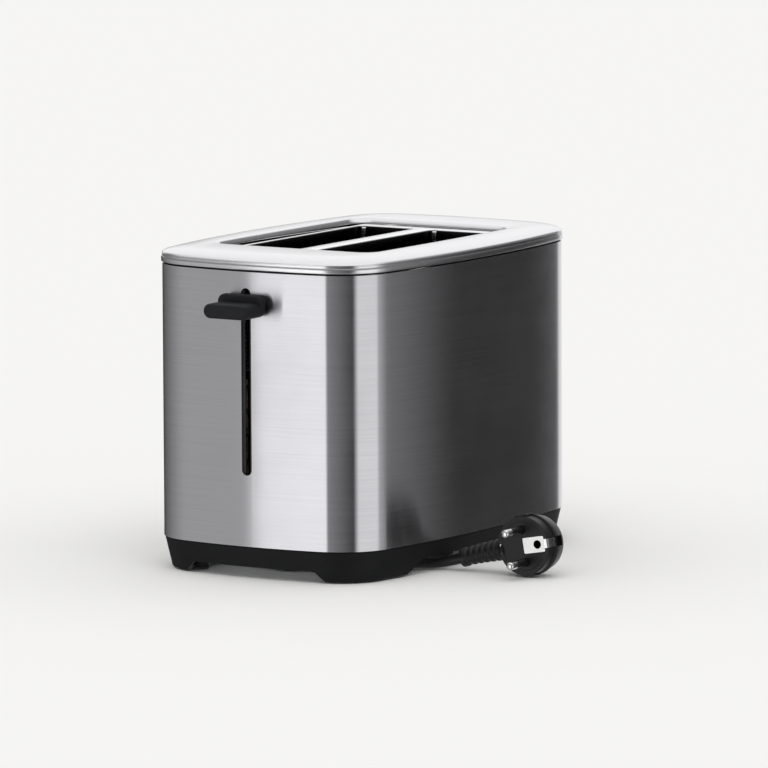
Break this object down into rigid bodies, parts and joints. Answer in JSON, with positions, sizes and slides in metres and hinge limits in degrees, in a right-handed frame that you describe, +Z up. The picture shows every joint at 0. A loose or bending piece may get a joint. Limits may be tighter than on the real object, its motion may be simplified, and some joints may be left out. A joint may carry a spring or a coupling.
{
  "type": "pop-up toaster",
  "caption": "Pop-up toaster with a brushed steel wrap, formed steel cover, black moulded base, sliding lever carriage, tilting bread guards, crumb tray, controls and a stored mains lead.",
  "frame": {"origin": "on the supporting surface, under the middle of the toaster's bounding box without its mains lead", "axes": "+Z up; the lever's end faces -Y, the controls face -X, and the mains lead leaves on the +X side"},
  "size_m": [0.2506, 0.2884, 0.1902],
  "materials": {
    "brushed_shell": "horizontally brushed stainless steel, satin",
    "satin_cover": "fine satin stainless steel, formed and lightly polished",
    "galvanised": "galvanised sheet steel, dull spangle",
    "wire": "nickel-plated steel wire, slightly heat tinted",
    "black_plastic": "black moulded plastic, fine spark-eroded texture",
    "knob_plastic": "matt black moulded plastic",
    "rubber": "dark grey rubber",
    "cable": "black PVC cable jacket and plug, semi-matt",
    "mica": "pressed mica board",
    "nichrome": "oxidised resistance ribbon",
    "copper": "enamelled copper winding",
    "circuit_board": "green solder mask",
    "white_plastic": "natural heat-resistant plastic",
    "plated": "nickel-plated metal"
  },
  "bodies": {
    "housing": {"outer_shell": "brushed_shell", "top_frame": "satin_cover", "slot_deck": "satin_cover", "joint_gasket": "black_plastic", "deck_liner": "black_plastic", "base": "black_plastic", "cord_bobbin": "black_plastic", "control_panel": "black_plastic", "bottom_plate": "galvanised", "chassis_front": "galvanised", "chassis_rear": "galvanised", "heat_shield_left": "galvanised", "heat_shield_right": "galvanised", "magnet_core": "galvanised", "rubber_foot_1": "rubber", "base_screw_1": "galvanised", "rubber_foot_2": "rubber", "base_screw_2": "galvanised", "rubber_foot_3": "rubber", "base_screw_3": "galvanised", "rubber_foot_4": "rubber", "base_screw_4": "galvanised", "heater_board_left": "mica", "heater_ribbon_left": "nichrome", "heater_ribbon_centre_left": "nichrome", "heater_board_right": "mica", "heater_ribbon_right": "nichrome", "heater_ribbon_centre_right": "nichrome", "heater_board_centre": "mica", "potentiometer": "white_plastic", "mains_block": "white_plastic", "guide_rod": "plated", "carriage_spring": "plated", "plug_pin_upper": "plated", "plug_pin_lower": "plated", "magnet_coil": "copper", "control_board": "circuit_board", "cord_gland": "black_plastic", "cord_winding": "cable", "cord_lead": "cable", "plug_strain_relief": "cable", "plug_body": "cable"},
    "carriage": {"carriage_bracket": "galvanised", "carriage_slider": "white_plastic", "lever_stem": "galvanised", "lever_knob": "knob_plastic", "armature_plate": "galvanised", "bread_rack_left": "wire", "bread_rack_right": "wire"},
    "tray": {"crumb_tray": "galvanised", "crumb_tray_handle": "black_plastic"},
    "dial": {"browning_dial": "knob_plastic"},
    "stop": {"stop_button": "knob_plastic"},
    "defrost": {"defrost_button": "knob_plastic"},
    "reheat": {"reheat_button": "knob_plastic"},
    "guard_left_outer": {"bread_guard_left_outer": "wire"},
    "guard_left_inner": {"bread_guard_left_inner": "wire"},
    "guard_right_inner": {"bread_guard_right_inner": "wire"},
    "guard_right_outer": {"bread_guard_right_outer": "wire"}
  },
  "joints": [
    {"name": "lever_slide", "type": "slide", "parent": "housing", "child": "carriage", "axis": [0, 0, 1], "range_m": [-0.092, 0.009], "stiffness_N_per_m": 150, "springref_m": 0.0062, "deforming": ["carriage_spring"]},
    {"name": "guard_left_outer_tilt", "type": "hinge", "parent": "housing", "child": "guard_left_outer", "pos_m": [-0.03865, 0.0077, 0.032], "axis": [0, 1, 0], "range_deg": [-0.5, 4.2]},
    {"name": "guard_left_inner_tilt", "type": "hinge", "parent": "housing", "child": "guard_left_inner", "pos_m": [0.00195, 0.0077, 0.032], "axis": [0, 1, 0], "range_deg": [-4.2, 0.5]},
    {"name": "guard_right_inner_tilt", "type": "hinge", "parent": "housing", "child": "guard_right_inner", "pos_m": [0.01135, 0.0077, 0.032], "axis": [0, 1, 0], "range_deg": [-0.5, 4.2]},
    {"name": "guard_right_outer_tilt", "type": "hinge", "parent": "housing", "child": "guard_right_outer", "pos_m": [0.05195, 0.0077, 0.032], "axis": [0, 1, 0], "range_deg": [-4.2, 0.5]},
    {"name": "tray_slide", "type": "slide", "parent": "housing", "child": "tray", "axis": [0, 1, 0], "range_m": [0, 0.18]},
    {"name": "dial_turn", "type": "hinge", "parent": "housing", "child": "dial", "pos_m": [-0.08335, 0.0077, 0.074], "axis": [-1, 0, 0], "range_deg": [-135, 135]},
    {"name": "stop_press", "type": "slide", "parent": "housing", "child": "stop", "axis": [1, 0, 0], "range_m": [0, 0.0015], "stiffness_N_per_m": 400, "springref_m": -0.001},
    {"name": "defrost_press", "type": "slide", "parent": "housing", "child": "defrost", "axis": [1, 0, 0], "range_m": [0, 0.0015], "stiffness_N_per_m": 400, "springref_m": -0.001},
    {"name": "reheat_press", "type": "slide", "parent": "housing", "child": "reheat", "axis": [1, 0, 0], "range_m": [0, 0.0015], "stiffness_N_per_m": 400, "springref_m": -0.001}
  ],
  "couplings": [
    {"joint": "guard_left_outer_tilt", "follows": "lever_slide", "rad_per_m": -0.7587},
    {"joint": "guard_left_inner_tilt", "follows": "lever_slide", "rad_per_m": 0.7587},
    {"joint": "guard_right_inner_tilt", "follows": "lever_slide", "rad_per_m": -0.7587},
    {"joint": "guard_right_outer_tilt", "follows": "lever_slide", "rad_per_m": 0.7587}
  ]
}
